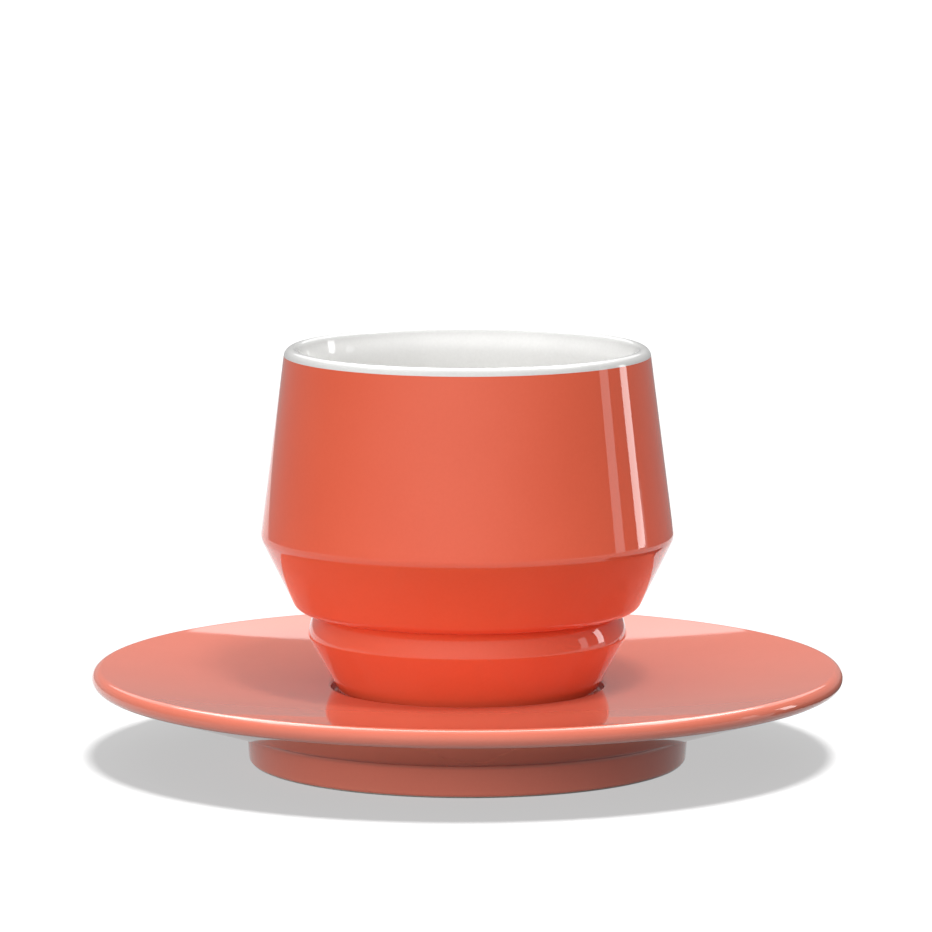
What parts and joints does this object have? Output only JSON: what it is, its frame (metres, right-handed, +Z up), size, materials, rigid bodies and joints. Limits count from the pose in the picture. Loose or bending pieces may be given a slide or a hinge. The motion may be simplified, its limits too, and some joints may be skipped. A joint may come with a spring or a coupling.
{
  "type": "cappuccino cup with saucer",
  "caption": "Handleless tapered porcelain cup, white inside and coral outside, with a firm shoulder and a beaded foot that stands in the well of a shallow coral saucer; the cup lifts off.",
  "frame": {"origin": "under the middle of the saucer, on the plane of its standing foot ring", "axes": "+Z up along the common axis of cup and saucer; X and Y are free, since both are round"},
  "size_m": [0.15, 0.15, 0.083],
  "materials": {
    "white_glaze": "gloss",
    "coral_cup_glaze": "gloss",
    "coral_saucer_glaze": "gloss"
  },
  "bodies": {
    "saucer": {"saucer": "coral_saucer_glaze"},
    "cup": {"cup_body": "white_glaze", "cup_outer_glaze": "coral_cup_glaze"}
  },
  "joints": [
    {"name": "cup_lift", "type": "slide", "parent": "saucer", "child": "cup", "axis": [0, 0, 1], "range_m": [0, 0.1]}
  ]
}
